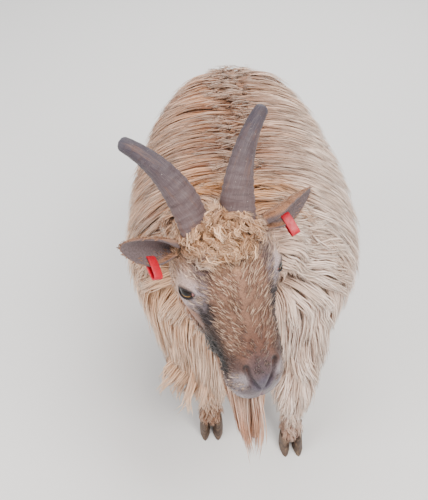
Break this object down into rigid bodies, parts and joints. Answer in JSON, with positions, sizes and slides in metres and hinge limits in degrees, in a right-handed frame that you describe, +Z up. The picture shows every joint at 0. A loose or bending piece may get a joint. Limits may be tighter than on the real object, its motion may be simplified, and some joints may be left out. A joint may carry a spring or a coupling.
{
  "type": "pygmy goat",
  "caption": "Life-size pygmy goat, standing with its head raised and turned to its left, with long coat, beard, horns and ear tags.",
  "frame": {"origin": "centre of the bounding box, at floor level under the hooves", "axes": "+Z up; the goat faces -Y, so +Y runs back along its body; +X points to its left side"},
  "size_m": [0.3822, 0.7048, 0.6019],
  "materials": {
    "coat": "long silky cream and tan hair",
    "face": "short brown and grey hair with a curly buff forelock and a pale beard",
    "ear": "short hair, grey inside and tan on the back",
    "eye": "wet, amber with a dark level pupil",
    "horn": "dull grey-brown horn with low rings and scratches",
    "hoof": "dull dark horn",
    "tag": "smooth red plastic, blank"
  },
  "bodies": {
    "root": {"ear_left": "ear", "ear_right": "ear", "eye_left": "eye", "eye_right": "eye", "foreleg_left": "coat", "foreleg_right": "coat", "head": "face", "hindleg_left": "coat", "hindleg_right": "coat", "hoof_foreleg_left_a": "hoof", "hoof_foreleg_left_b": "hoof", "hoof_foreleg_right_a": "hoof", "hoof_foreleg_right_b": "hoof", "hoof_hindleg_left_a": "hoof", "hoof_hindleg_left_b": "hoof", "hoof_hindleg_right_a": "hoof", "hoof_hindleg_right_b": "hoof", "horn_left": "horn", "horn_right": "horn", "neck": "coat", "tag_left": "tag", "tag_right": "tag", "tail": "coat", "torso": "coat"}
  },
  "joints": []
}
